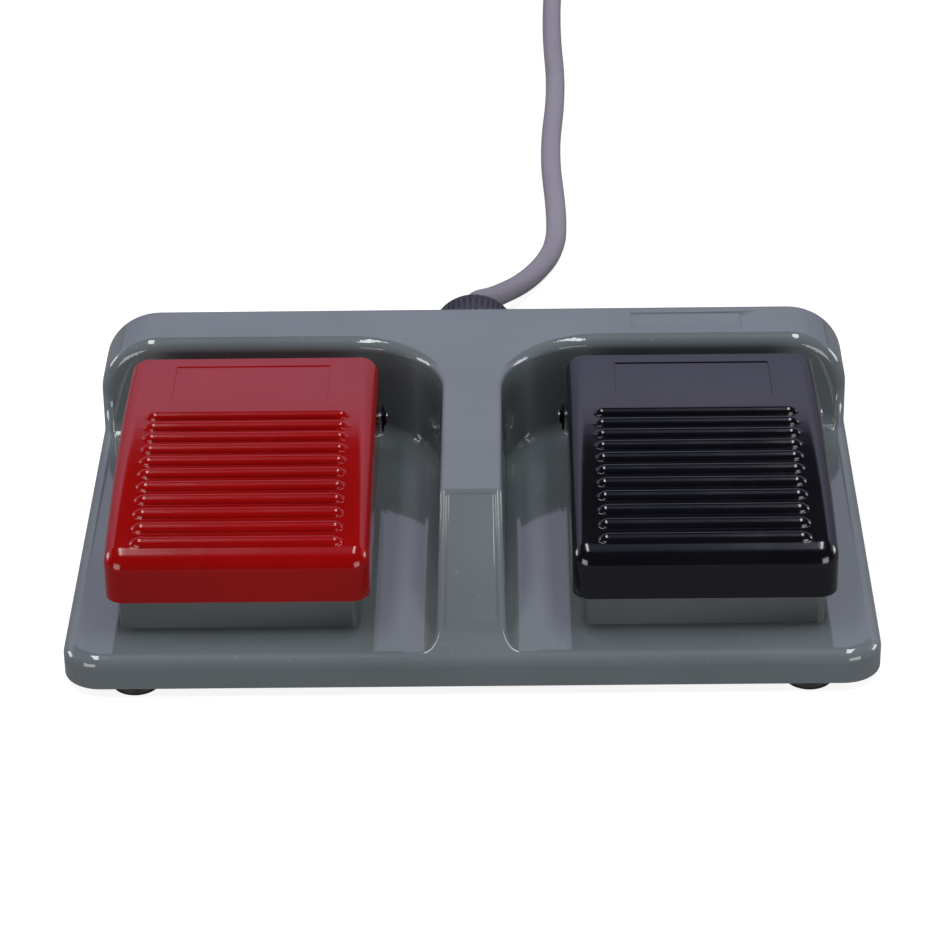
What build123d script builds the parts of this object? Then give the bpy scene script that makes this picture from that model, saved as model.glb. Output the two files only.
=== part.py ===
from build123d import *
import os
from math import cos, degrees, dist, pi, radians, sin, sqrt, tan

# Twin foot pedal switch. Two hinged pedals, each over its own switch base, stand on a moulded
# tray with an arched hood across the back and a rail between the pedals. The cable leaves
# through a gland in the hood's back wall. Millimetres, X to the right, Y from the toe edge
# towards the cable, Z up. The origin is the centre of the tray's footprint, on the table.

# Tray, hood and rail of the housing
tray_width = 210.0
tray_depth = 138.5
foot_lift = 2.6
tray_height = 8.8
hood_height = 36.7
hood_depth = 20.1
hood_inset = 0.5
hood_shoulder = 16.0
shell_wall = 2.4
mould_draft = 2.4
front_corner = 10.0
rear_corner = 2.5
tray_edge_round = 3.2
hood_edge_round = 3.5
floor_blend = 4.0
pocket_corner = 27.0
rail_width = 16.1
rail_edge_round = 1.3
rail_brow_round = 1.6
slope_angle = 39.0

# Bare plates moulded in the housing
label_length = 37.5
label_top_width = 12.9
label_foot_width = 13.9
label_height = 0.9
label_top_gap = 1.6
label_side_bevel = 0.85
label_foot_bevel = 1.9
name_plate_width = 31.0
name_plate_depth = 9.5
name_plate_sink = 0.3
name_plate_rear_gap = 4.8

# Bottom plate, its screws and the feet
plate_thickness = 2.0
plate_gap = 0.2
boss_diameter = 7.0
screw_diameter = 2.9
screw_play = 0.05
pan_head_diameter = 5.5
pan_head_height = 2.0
flat_head_diameter = 5.6
flat_head_height = 1.6
plate_screw_length = 6.5
plate_screw_side_inset = 8.0
plate_screw_front_inset = 26.0
plate_screw_toe_inset = 9.0
plate_screw_toe_half_span = 14.0
plate_screw_rear_half_span = 36.0
foot_diameter = 12.8
foot_neck_diameter = 5.0
foot_barb_diameter = 6.6
foot_barb_height = 1.8
foot_side_inset = 18.6
foot_front_inset = 7.0
foot_rear_inset = 14.0

# Pedals
pedal_side_margin = 11.15
pedal_width = 68.0
pedal_inset = 11.3
pedal_heel_gap = 9.1
pedal_skin = 2.4
skirt_clearance = 10.0
pedal_toe_height = 13.1
pedal_heel_height = 19.2
pedal_crown = 4.2
pedal_corner = 5.0
pedal_edge_round = 4.5
press_angle = 5.0

# Grip ribs and label recess on each pedal
rib_pitch = 5.42
first_rib_inset = 5.7
last_rib_gap = 8.0
rib_side_inset = 6.8
rib_point = 3.0
rib_radius = 1.8
rib_rise = 1.5
recess_side_inset = 13.0
recess_length = 20.0
recess_heel_inset = 8.8
recess_sink = 0.25

# Hinge
hinge_inset = 9.0
hinge_height = 13.2
pin_diameter = 4.0
pin_stand = 2.6
pin_running_play = 0.05
pin_seat_play = 0.02
clip_offset = 0.7
clip_thickness = 0.6
clip_diameter = 7.2
groove_diameter = 3.2
groove_play = 0.05

# Switch base under each pedal
base_side_gap = 0.6
base_setback = 3.7
base_floor = 2.0
base_wall = 2.0
base_rear_gap = 1.0
base_stop_height = 13.2
side_wall_height = 10.2
ear_radius = 5.5
ledge_gap = 0.3
base_corner = 2.0
base_screw_length = 10.0
base_screw_side_inset = 12.0
base_screw_end_inset = 18.0

# Microswitch
case_length = 27.8
case_width = 10.3
case_height = 15.9
plunger_offset = 7.5
plunger_diameter = 3.2
plunger_stand = 2.0
plunger_travel = 1.6
plunger_sleeve_play = 0.1
actuator_gap = 0.2
actuator_diameter = 6.0
bracket_thickness = 3.0
bracket_height = 14.5
mount_hole_span = 22.2
mount_hole_rise = 10.3
mount_hole_foot = 2.8
terminal_count = 3
terminal_pitch = 9.0
terminal_width = 4.7
terminal_thickness = 0.5
terminal_length = 7.2
terminal_window_play = 1.5

# Return spring
spring_inset = 36.0
spring_diameter = 11.0
spring_wire = 1.2
spring_turns = 6
spring_seat_gap = 0.3
spring_post_play = 0.6
spring_post_height = 4.0
spring_pad_drop = 1.6

# Wires inside the housing
lead_diameter = 1.5
lead_bend = 1.5
lead_spacing = 3.4
lead_riser = 12.0
core_ring = 1.3

# Cable gland
gland_height = 21.2
gland_thread = 16.0
gland_hole_play = 0.15
gland_flats = 20.0
gland_flange = 5.0
gland_tail = 9.0
gland_neck = 7.8
gland_bore = 8.0
locknut_thickness = 4.0
locknut_flats = 19.6
nut_diameter = 23.6
nut_body_length = 9.0
nut_dome_length = 4.6
nut_gap = 0.3
nut_thread_play = 0.1
seal_diameter = 11.6
seal_length = 8.0

# Cable
cable_diameter = 6.5
cable_grip_play = 0.05
inner_tail = 3.0
coil_turns_per_layer = 2.5
coil_spacing = 7.2
coil_outer_radius = 44.5
coil_centre = (-17.5, 440.0)
tie_width = 3.6
tie_thickness = 1.2
tie_gap = 0.35
tie_head = 5.0
core_count = 4
core_diameter = 1.7
core_length = 20.0
tip_length = 6.0
tip_diameter = 1.1

# Places worked out from the sizes above
rim_z = foot_lift
floor_z = rim_z + tray_height
hood_z = rim_z + hood_height
ceiling_z = floor_z - shell_wall
plate_top_z = rim_z + plate_thickness
front_y = -tray_depth / 2
back_y = tray_depth / 2
hood_front_y = back_y - hood_depth
hood_half = tray_width / 2 - hood_inset
lean = tan(radians(mould_draft))
rail_half = rail_width / 2

pedal_pitch = tray_width - 2 * pedal_side_margin - pedal_width
pin_length = pedal_width + 2 * pin_stand
base_width = pedal_width - 2 * (pedal_skin + base_side_gap)
pedal_length = tray_depth - hood_depth - pedal_inset - pedal_heel_gap
pedal_front_y = front_y + pedal_inset
pedal_back_y = pedal_front_y + pedal_length
rib_length = pedal_width - 2 * rib_side_inset
recess_width = pedal_width - 2 * recess_side_inset
recess_inset = pedal_length - recess_heel_inset - recess_length
rib_count = int((recess_inset - last_rib_gap - first_rib_inset) / rib_pitch) + 1
base_screw_spread = pedal_width - 2 * base_screw_side_inset
base_screw_span = pedal_length - 2 * base_screw_end_inset
skirt_z = floor_z + skirt_clearance
toe_z = skirt_z + pedal_toe_height
heel_z = skirt_z + pedal_heel_height
hinge_y = pedal_back_y - hinge_inset
hinge_z = floor_z + hinge_height
base_front_y = pedal_front_y + base_setback
base_back_y = pedal_back_y - pedal_skin - base_rear_gap
base_half = base_width / 2
base_floor_z = floor_z + base_floor

plunger_reach = plunger_travel / radians(press_angle)
plunger_y = hinge_y - plunger_reach
case_y = plunger_y - plunger_offset
case_top_z = base_floor_z + case_height
plunger_top_z = case_top_z + plunger_stand
spring_y = pedal_front_y + spring_inset
gland_z = rim_z + gland_height
gland_mouth_y = back_y + gland_flange + nut_gap + nut_body_length + nut_dome_length
cable_radius = cable_diameter / 2
coil_low_z = cable_radius + tie_thickness + tie_gap


def at_y(y):
    """Plane whose local axes are X and Z, at this Y, facing the toe edge."""
    return Plane.XZ.offset(-y)


def bar_along_y(radius, y_from, y_to, x, z):
    """Round bar between two Y values."""
    return Pos(x, (y_from + y_to) / 2, z) * Rot(90, 0, 0) * Cylinder(radius, y_to - y_from)


def bar_along_x(radius, x_from, x_to, y, z):
    """Round bar between two X values."""
    return Pos((x_from + x_to) / 2, y, z) * Rot(0, 90, 0) * Cylinder(radius, x_to - x_from)


def post(radius, z_from, z_to, x, y):
    """Upright round bar between two heights."""
    return Pos(x, y, (z_from + z_to) / 2) * Cylinder(radius, z_to - z_from)


def block(x_from, x_to, y_from, y_to, z_from, z_to):
    """Plain block between pairs of X, Y and Z values."""
    centre = Pos((x_from + x_to) / 2, (y_from + y_to) / 2, (z_from + z_to) / 2)
    return centre * Box(x_to - x_from, y_to - y_from, z_to - z_from)


def tray_outline(inset):
    """Footprint of the tray, drawn in by a wall or a gap."""
    outline = Rectangle(tray_width - 2 * inset, tray_depth - 2 * inset)
    corners = outline.vertices().group_by(Axis.Y)
    outline = fillet(corners[0], front_corner - inset)
    rear = outline.vertices().group_by(Axis.Y)[-1]
    return fillet(rear, max(rear_corner - inset, 0.5))


def tray_block():
    """Flat platform with a rounded top edge."""
    slab = extrude(Pos(0, 0, rim_z) * tray_outline(0), amount=tray_height)
    return fillet(slab.faces().sort_by(Axis.Z)[-1].edges(), tray_edge_round)


def arch(half, top_z, shoulder, y_from, y_to):
    """Block with two round upper shoulders, as wide and high as the hood."""
    face = Rectangle(2 * half, top_z - rim_z)
    face = fillet(face.vertices().group_by(Axis.Y)[-1], shoulder)
    return extrude(at_y(y_to) * Pos(0, (top_z + rim_z) / 2) * face, amount=y_to - y_from)


def pocket_space():
    """Drafted space above the floor of the right pocket, with a round inner corner and sole."""
    grow = lean * (hood_z - floor_z)
    x = rail_half + grow
    y = hood_front_y - grow
    far = tray_width
    outline = Polygon((x, -far), (far, -far), (far, y), (x, y), align=None)
    corner = [v for v in outline.vertices() if v.Y > 0 and v.X < far / 2]
    outline = fillet(corner, pocket_corner - grow)
    space = extrude(Pos(0, 0, floor_z) * outline, amount=hood_height, taper=-mould_draft)
    sole = space.faces().sort_by(Axis.Z)[0].edges()
    sole = [e for e in sole if e.center().Y > -far / 2 and e.center().X < far - 1]
    return fillet(sole, floor_blend)


def hood_block():
    """Arched hood with a drafted front, its front rim and back rim rounded."""
    toe_y = hood_front_y - lean * hood_height
    side_view = Polygon((toe_y, rim_z), (hood_front_y, hood_z), (back_y, hood_z), (back_y, rim_z), align=None)
    body = arch(hood_half, hood_z, hood_shoulder, toe_y - 1, back_y)
    body = body & extrude(Plane.YZ * side_view, amount=tray_width, both=True)
    front = body.faces().sort_by(Axis.Y)[0].edges()
    body = fillet([edge for edge in front if edge.center().Z > rim_z + 0.01], hood_edge_round)
    back = body.faces().sort_by(Axis.Y)[-1].edges()
    return fillet([edge for edge in back if edge.center().Z > rim_z + 0.01], rear_corner)


def rim_waste(corner, outward, radius):
    """Waste outside a round of this radius where a drafted wall meets the hood's top."""
    top = radius * tan(radians(45 - mould_draft / 2))
    reach = sqrt(top ** 2 + radius ** 2)
    wall = (top * sin(radians(mould_draft)), -top * cos(radians(mould_draft)))
    middle = (top * (radius / reach - 1), radius * (radius / reach - 1))
    outline = Polyline((-top, 0), (-top, 1), (wall[0] + 1, 1), (wall[0] + 1, wall[1]), wall)
    rim = ThreePointArc(wall, middle, (-top, 0))
    across = Plane(origin=corner, x_dir=outward, z_dir=outward.cross(Vector(0, 0, 1)))
    return across * make_face([*outline.edges(), rim])


def web_waste():
    """Waste over the right web's rim round, which narrows from the hood's to the rail's."""
    centre = Vector(rail_half + pocket_corner, hood_front_y - pocket_corner, hood_z)
    sections = []
    steps = 12
    for i in range(steps + 1):
        share = i / steps
        turn = share * pi / 2
        inward = Vector(sin(turn), -cos(turn), 0)
        blend = share * share * (3 - 2 * share)
        radius = hood_edge_round + (rail_edge_round - hood_edge_round) * blend
        sections.append(rim_waste(centre - inward * pocket_corner, inward, radius))
    return loft(sections)


def hood_foot_blend():
    """Round fillet where the hood's front meets the tray's floor, right of the web."""
    web_x = rail_half + pocket_corner
    front = hood_front_y - lean * (hood_z - floor_z)
    bead = block(web_x, hood_half - hood_edge_round, front - floor_blend - 1, front + 2,
                 floor_z - 1, floor_z + floor_blend + 1)
    return bead - pocket_space()


def slope_foot():
    """Height where the rail's front slope would cross the tray's front wall."""
    centre_z = floor_z - tray_edge_round
    return centre_z + tray_edge_round * tan(radians(45 - slope_angle / 2))


def slope_brow():
    """Y where the rail's level top turns into its front slope."""
    return front_y + (hood_z - slope_foot()) / tan(radians(slope_angle))


def ridge_block():
    """Rail with its long front slope and the two webs behind it, left by the two pockets."""
    low = floor_z - tray_edge_round - 1
    end_y = hood_front_y + hood_edge_round + 1
    side_view = Polygon((front_y, low), (front_y, slope_foot()), (slope_brow(), hood_z),
                        (end_y, hood_z), (end_y, low), align=None)
    nose = [v for v in side_view.vertices() if abs(v.X - front_y) < 0.01 and v.Y > low + 0.01]
    side_view = fillet(nose, tray_edge_round)
    brow = [v for v in side_view.vertices() if abs(v.X - slope_brow()) < 0.01]
    side_view = fillet(brow, rail_brow_round)
    ridge = extrude(Plane.YZ * side_view, amount=rail_half + pocket_corner, both=True)
    pocket = pocket_space()
    return ridge - pocket - mirror(pocket, about=Plane.YZ)


def round_rail(ridge):
    """The ridge's front part, the rail, with its long edges rounded."""
    web_y = hood_front_y - pocket_corner
    toe = rail_half + lean * (hood_z - floor_z) + 2 * floor_blend
    rail = ridge & block(-toe, toe, front_y - 1, web_y, rim_z, hood_z + 1)
    sharp = []
    for face in rail.faces():
        if abs(face.normal_at(face.center()).X) > 0.99 and face.center().Z > floor_z:
            for edge in face.edges():
                level = edge.center().Z > floor_z + floor_blend + 1
                if level and edge.center().Y < web_y - 0.01:
                    sharp.append(edge)
    return fillet(sharp, rail_edge_round)


def round_webs(ridge):
    """The ridge's rear part, the webs, with the rims that lead from the rail to the hood."""
    reach = rail_half + pocket_corner
    webs = ridge & block(-reach, reach, hood_front_y - pocket_corner, back_y, floor_z - 1, hood_z + 1)
    waste = web_waste()
    return webs - waste - mirror(waste, about=Plane.YZ)


def label_pad():
    """Raised bare plate on the rail's front slope, bevelled at its sides and foot."""
    slope = Plane(origin=(0, slope_brow(), hood_z), x_dir=(1, 0, 0),
                  z_dir=(0, -sin(radians(slope_angle)), cos(radians(slope_angle))))
    top = label_top_width / 2
    foot = label_foot_width / 2
    crest_end = label_foot_bevel - label_length
    outline = Polygon((-foot, -label_length), (foot, -label_length), (top, -label_top_gap),
                      (-top, -label_top_gap), align=None)
    pad = extrude(slope * Pos(0, 0, -1) * outline, amount=1 + label_height)
    side_view = Polygon((-label_length, -1), (-label_length, 0), (crest_end, label_height),
                        (0, label_height), (0, -1), align=None)
    across = Plane(origin=slope.origin, x_dir=slope.y_dir, z_dir=(1, 0, 0))
    pad = pad & extrude(across * side_view, amount=label_foot_width, both=True)
    crest = pad.faces().sort_by(Axis(slope.origin, slope.z_dir))[-1]
    sides = crest.edges().sort_by(Axis.X)
    return chamfer([sides[0], sides[-1]], label_side_bevel)


def plate_screw_places():
    """Centres of the screws that hold the bottom plate."""
    side = tray_width / 2 - plate_screw_side_inset
    rear = hood_front_y - boss_diameter / 2
    toe = front_y + plate_screw_toe_inset
    middle = plate_screw_toe_half_span
    inner = plate_screw_rear_half_span
    places = [(x, y) for x in (-side, side) for y in (front_y + plate_screw_front_inset, rear)]
    return places + [(-middle, toe), (middle, toe), (-inner, rear), (inner, rear)]


def base_screw_places(x):
    """Centres of the screws that hold one switch base."""
    middle = (base_front_y + base_back_y) / 2
    half_x = base_screw_spread / 2
    half_y = base_screw_span / 2
    return [(x + i * half_x, middle + j * half_y) for i in (-1, 1) for j in (-1, 1)]


def terminal_window(x, z_from, z_to):
    """Slot that the three switch terminals pass through."""
    half_y = (terminal_count - 1) * terminal_pitch / 2 + terminal_width / 2 + terminal_window_play
    half_x = terminal_thickness / 2 + terminal_window_play + lead_diameter
    return block(x - half_x, x + half_x, case_y - half_y, case_y + half_y, z_from, z_to)


def housing_hollow():
    """Space inside the tray, the hood and the rail, open underneath."""
    tray = extrude(Pos(0, 0, rim_z - 1) * tray_outline(shell_wall), amount=ceiling_z - rim_z + 1)
    hood = arch(hood_half - shell_wall, hood_z - shell_wall, hood_shoulder - shell_wall,
                hood_front_y + shell_wall, back_y - shell_wall)
    inner = rail_half - shell_wall
    rise = shell_wall / cos(radians(slope_angle))
    drop = (hood_z - shell_wall - ceiling_z + 1) / tan(radians(slope_angle))
    top_y = slope_brow() + rise
    side_view = Polygon((top_y, hood_z - shell_wall), (hood_front_y + 2 * shell_wall, hood_z - shell_wall),
                        (hood_front_y + 2 * shell_wall, ceiling_z - 1), (top_y - drop, ceiling_z - 1),
                        align=None)
    rail = extrude(Plane.YZ * side_view, amount=inner, both=True)
    return tray + hood + rail


def make_housing():
    """Tray, hood and rail moulded in one piece."""
    ridge = ridge_block()
    blend = hood_foot_blend()
    body = tray_block() + hood_block() + round_webs(ridge) + round_rail(ridge)
    body = body + blend + mirror(blend, about=Plane.YZ) + label_pad()
    body -= housing_hollow()
    pedal_x = pedal_pitch / 2
    plate_y = hood_front_y + hood_depth - name_plate_rear_gap - name_plate_depth / 2
    body -= block(pedal_x - name_plate_width / 2, pedal_x + name_plate_width / 2,
                  plate_y - name_plate_depth / 2, plate_y + name_plate_depth / 2,
                  hood_z - name_plate_sink, hood_z + 1)
    pilot = screw_diameter / 2 + screw_play
    for x, y in plate_screw_places():
        body += post(boss_diameter / 2, plate_top_z, ceiling_z + 0.5, x, y)
        body -= post(pilot, plate_top_z - 1, rim_z + plate_screw_length + 0.8, x, y)
    for side in (-1, 1):
        for x, y in base_screw_places(side * pedal_x):
            body -= post(pilot, ceiling_z - 1, floor_z + 1, x, y)
        body -= terminal_window(side * pedal_x, ceiling_z - 1, floor_z + 1)
    body -= bar_along_y(gland_thread / 2 + gland_hole_play, back_y - 2 * shell_wall, back_y + 1, 0, gland_z)
    return body


def foot_places():
    """Centre of each foot, by name."""
    side = tray_width / 2 - foot_side_inset
    front = front_y + foot_front_inset
    rear = back_y - foot_rear_inset
    return {"front_left": (-side, front), "front_right": (side, front),
            "rear_left": (-side, rear), "rear_right": (side, rear)}


def make_bottom_plate():
    """Flat plate that closes the housing from below."""
    plate = extrude(Pos(0, 0, rim_z) * tray_outline(shell_wall + plate_gap), amount=plate_thickness)
    for x, y in foot_places().values():
        plate -= post(foot_neck_diameter / 2 + plate_gap / 2, rim_z - 1, plate_top_z + 1, x, y)
    for x, y in plate_screw_places():
        plate -= post(screw_diameter / 2 + plate_gap / 2, rim_z - 1, plate_top_z + 1, x, y)
        sink = Cone(flat_head_diameter / 2 + screw_play, screw_diameter / 2 + screw_play, flat_head_height)
        plate -= Pos(x, y, rim_z + flat_head_height / 2) * sink
    return plate


def make_foot(x, y):
    """Push-in rubber foot: a disc, a neck through the plate and a barb above it."""
    disc = post(foot_diameter / 2, 0, rim_z, x, y)
    disc = fillet(disc.edges().sort_by(Axis.Z)[0], 0.6)
    neck = post(foot_neck_diameter / 2, rim_z, plate_top_z, x, y)
    barb = Cone(foot_barb_diameter / 2, foot_neck_diameter / 2 - 0.8, foot_barb_height)
    return disc + neck + Pos(x, y, plate_top_z + foot_barb_height / 2) * barb


def make_plate_screws():
    """Countersunk screws that hold the bottom plate."""
    screws = []
    for x, y in plate_screw_places():
        head = Cone(flat_head_diameter / 2, screw_diameter / 2, flat_head_height)
        shank = post(screw_diameter / 2, rim_z, rim_z + plate_screw_length, x, y)
        screws.append(Pos(x, y, rim_z + flat_head_height / 2) * head + shank)
    return screws


def pedal_side_view(inset):
    """Outline of a pedal from the side: level skirt edge, upright ends and crowned top."""
    y_toe = pedal_front_y + inset
    y_heel = pedal_back_y - inset
    grade = (heel_z - toe_z) / pedal_length
    low = skirt_z if inset == 0 else skirt_z - 1
    toe = toe_z + grade * inset - inset
    heel = heel_z - grade * inset - inset
    middle = ((y_toe + y_heel) / 2, (toe + heel) / 2 + pedal_crown)
    outline = Polyline((y_toe, toe), (y_toe, low), (y_heel, low), (y_heel, heel))
    crown = ThreePointArc((y_toe, toe), middle, (y_heel, heel))
    return make_face([*outline.edges(), crown])


def crown_height(y):
    """Height of a pedal's crowned top at this Y, from the circle through its three points."""
    half = dist((pedal_front_y, toe_z), (pedal_back_y, heel_z)) / 2
    radius = (half ** 2 + pedal_crown ** 2) / (2 * pedal_crown)
    grade = (heel_z - toe_z) / pedal_length
    drop = radius - pedal_crown
    middle_y = (pedal_front_y + pedal_back_y) / 2 + drop * sin(grade)
    middle_z = (toe_z + heel_z) / 2 - drop * cos(grade)
    return middle_z + sqrt(radius ** 2 - (y - middle_y) ** 2)


def grip_rib(y):
    """Round rib with a point at each end, lying in the pedal's crowned top."""
    half = rib_length / 2
    bulge = (half - 0.3 * rib_point, 0.7 * rib_radius)
    outline = Polyline((-half + rib_point, rib_radius), (half - rib_point, rib_radius))
    right_end = ThreePointArc((half - rib_point, rib_radius), bulge, (half, 0))
    left_end = ThreePointArc((-half + rib_point, rib_radius), (-bulge[0], bulge[1]), (-half, 0))
    axis = Line((-half, 0), (half, 0))
    spindle = revolve(make_face([*outline.edges(), right_end, left_end, axis]), Axis.X)
    return Pos(0, y, crown_height(y) - rib_radius + rib_rise) * spindle


def make_pedal(x):
    """Hollow pedal cover with grip ribs, a bare label recess and its inner posts."""
    half = pedal_width / 2
    shell = extrude(Plane.YZ * pedal_side_view(0), amount=half, both=True)
    shell = fillet(shell.edges().filter_by(Axis.Z), pedal_corner)
    top_rim = [e for e in shell.edges() if e.center().Z > toe_z - 1]
    shell = fillet(top_rim, pedal_edge_round)
    inner = extrude(Plane.YZ * pedal_side_view(pedal_skin), amount=half - pedal_skin, both=True)
    inner = fillet(inner.edges().filter_by(Axis.Z), pedal_corner - pedal_skin)
    for i in range(rib_count):
        shell += grip_rib(pedal_front_y + first_rib_inset + i * rib_pitch)
    recess_y = pedal_front_y + recess_inset + recess_length / 2
    recess = block(-recess_width / 2, recess_width / 2, recess_y - recess_length / 2,
                   recess_y + recess_length / 2, toe_z, heel_z + 5)
    recess -= extrude(Plane.YZ * Pos(0, -recess_sink) * pedal_side_view(0), amount=half, both=True)
    shell = shell - recess - inner
    nose_z = plunger_top_z + actuator_gap
    shell += post(actuator_diameter / 2, nose_z, crown_height(plunger_y) - 1, 0, plunger_y)
    pad_z = spring_top_z()
    shell += post(spring_diameter / 2 + 1, pad_z, crown_height(spring_y) - 1, 0, spring_y)
    stud = spring_diameter / 2 - spring_wire - spring_post_play
    shell += post(stud, pad_z - spring_post_height, pad_z, 0, spring_y)
    shell -= bar_along_x(pin_diameter / 2 + pin_running_play, -half - 1, half + 1, hinge_y, hinge_z)
    return Pos(x, 0, 0) * shell


def spring_top_z():
    """Height of the pedal's spring seat at rest."""
    return crown_height(spring_y) - pedal_skin - spring_pad_drop


def make_switch_base(x):
    """Open tray that carries the hinge ears, the switch bracket and the spring post."""
    length = base_back_y - base_front_y
    middle = (base_front_y + base_back_y) / 2
    stop_z = floor_z + base_stop_height
    side_z = floor_z + side_wall_height
    outline = fillet(Rectangle(base_width, length).vertices(), base_corner)
    body = extrude(Pos(0, middle, floor_z) * outline, amount=side_z - floor_z)
    hollow = fillet(Rectangle(base_width - 2 * base_wall, length - 2 * base_wall).vertices(),
                    base_corner / 2)
    front_half = base_half - base_corner
    body += block(-front_half, front_half, base_front_y, base_front_y + base_wall, side_z, stop_z)
    body -= extrude(Pos(0, middle, base_floor_z) * hollow, amount=hood_height)
    ledge_top = skirt_z - ledge_gap
    ledge_back = pedal_back_y - 0.5
    body += block(-front_half, front_half, base_back_y - base_wall, ledge_back, floor_z, ledge_top)
    for side in (-1, 1):
        ear = post_along_x_ear(side)
        body += ear
    body += block(-case_width / 2 - bracket_thickness, -case_width / 2, case_y - case_length / 2,
                  case_y + case_length / 2, base_floor_z - 0.5, base_floor_z + bracket_height)
    stud = spring_diameter / 2 - spring_wire - spring_post_play
    body += post(stud, base_floor_z - 0.5, base_floor_z + spring_post_height, 0, spring_y)
    body -= bar_along_x(pin_diameter / 2 + pin_seat_play, -base_half - 1, base_half + 1, hinge_y, hinge_z)
    pilot = screw_diameter / 2 + screw_play
    for y, z in mount_hole_places():
        body -= bar_along_x(pilot, -case_width / 2 - bracket_thickness - 1, 0, y, z)
    for px, py in base_screw_places(0):
        body += post(boss_diameter / 2, base_floor_z - 0.5, side_z - 1, px, py)
        body -= post(pilot, floor_z - 1, ceiling_z + base_screw_length + 0.8, px, py)
    body -= terminal_window(0, floor_z - 1, base_floor_z + 1)
    return Pos(x, 0, 0) * body


def post_along_x_ear(side):
    """Hinge ear: a round lug on a foot as broad as the lug."""
    outer = side * base_half
    inner = side * (base_half - base_wall - 0.6)
    low, high = min(outer, inner), max(outer, inner)
    lug = bar_along_x(ear_radius, low, high, hinge_y, hinge_z)
    foot_front = hinge_y - ear_radius
    foot_back = min(hinge_y + ear_radius, base_back_y)
    leg = block(low, high, foot_front, foot_back, base_floor_z, hinge_z)
    return (lug + leg) & block(low, high, foot_front - 1, base_back_y, base_floor_z, hinge_z + ear_radius)


def make_pivot_pin(x):
    """Steel hinge pin with a groove near each end."""
    half = pin_length / 2
    pin = bar_along_x(pin_diameter / 2, -half, half, hinge_y, hinge_z)
    pin = chamfer(pin.edges().filter_by(GeomType.CIRCLE), 0.3)
    for side in (-1, 1):
        near = side * (pedal_width / 2 + clip_offset - groove_play)
        far = side * (pedal_width / 2 + clip_offset + clip_thickness + groove_play)
        ring = bar_along_x(pin_diameter, min(near, far), max(near, far), hinge_y, hinge_z)
        ring -= bar_along_x(groove_diameter / 2, min(near, far), max(near, far), hinge_y, hinge_z)
        pin -= ring
    return Pos(x, 0, 0) * pin


def make_pivot_clips(x):
    """Two E-clips that keep the pin in place."""
    clips = []
    mouth = groove_diameter / 2 + groove_play
    for side in (-1, 1):
        near = side * (pedal_width / 2 + clip_offset)
        far = side * (pedal_width / 2 + clip_offset + clip_thickness)
        low, high = min(near, far), max(near, far)
        clip = bar_along_x(clip_diameter / 2, low, high, hinge_y, hinge_z)
        clip -= bar_along_x(mouth, low, high, hinge_y, hinge_z)
        clip -= block(low, high, hinge_y - mouth * 0.85, hinge_y + mouth * 0.85, hinge_z - clip_diameter, hinge_z)
        for lobe in (-1, 1):
            clip -= bar_along_x(0.7, low, high, hinge_y + lobe * (mouth + 0.35), hinge_z + 0.4)
        clips.append(Pos(x, 0, 0) * clip)
    return clips


def make_return_spring(x):
    """Compression spring between the base and the pedal."""
    low = base_floor_z + spring_seat_gap + spring_wire / 2
    high = spring_top_z() - spring_seat_gap - spring_wire / 2
    radius = (spring_diameter - spring_wire) / 2
    path = Helix(pitch=(high - low) / spring_turns, height=high - low, radius=radius)
    start = Plane(origin=path @ 0, z_dir=path % 0)
    coil = sweep(start * Circle(spring_wire / 2), path=path)
    return Pos(x, spring_y, low) * coil


def mount_hole_places():
    """Centres of the two mounting holes through the switch case, as Y and Z."""
    half = mount_hole_span / 2
    low = base_floor_z + mount_hole_foot
    return [(case_y - half, low), (case_y + half, low + mount_hole_rise - 1.6)]


def make_microswitch_case(x):
    """Snap-action switch case with its plunger collar and two mounting holes."""
    case = block(-case_width / 2, case_width / 2, case_y - case_length / 2, case_y + case_length / 2,
                 base_floor_z, case_top_z)
    case = fillet(case.edges().filter_by(Axis.X), 0.8)
    collar = plunger_diameter / 2 + 1.2
    case += post(collar, case_top_z - 1, case_top_z + 0.1, 0, plunger_y)
    well = plunger_diameter / 2 + plunger_sleeve_play
    case -= post(well, plunger_top_z - 2 * plunger_stand - plunger_travel - 0.5, plunger_top_z, 0, plunger_y)
    for y, z in mount_hole_places():
        case -= bar_along_x(screw_diameter / 2 + 0.1, -case_width, case_width, y, z)
    return Pos(x, 0, 0) * case


def make_microswitch_plunger(x):
    """Round-headed plunger that the pedal presses."""
    low = plunger_top_z - 2 * plunger_stand
    stem = post(plunger_diameter / 2, low, plunger_top_z, 0, plunger_y)
    stem = fillet(stem.edges().sort_by(Axis.Z)[-1], 0.7)
    return Pos(x, 0, 0) * stem


def make_microswitch_terminals(x):
    """Three flat blades below the switch case."""
    blades = []
    for i in range(terminal_count):
        y = case_y + (i - (terminal_count - 1) / 2) * terminal_pitch
        blade = block(-terminal_thickness / 2, terminal_thickness / 2, y - terminal_width / 2,
                      y + terminal_width / 2, base_floor_z - terminal_length, base_floor_z)
        hole = bar_along_x(0.8, -1, 1, y, base_floor_z - terminal_length + 1.8)
        blades.append(Pos(x, 0, 0) * (blade - hole))
    return blades


def make_microswitch_screws(x):
    """Two screws through the switch case into its bracket."""
    screws = []
    tip = -case_width / 2 - bracket_thickness
    for y, z in mount_hole_places():
        shank = bar_along_x(screw_diameter / 2, tip, case_width / 2, y, z)
        head = bar_along_x(pan_head_diameter / 2, case_width / 2, case_width / 2 + pan_head_height, y, z)
        head = fillet(head.edges().filter_by(GeomType.CIRCLE).sort_by(Axis.X)[-1], 0.7)
        screws.append(Pos(x, 0, 0) * (shank + head))
    return screws


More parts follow.
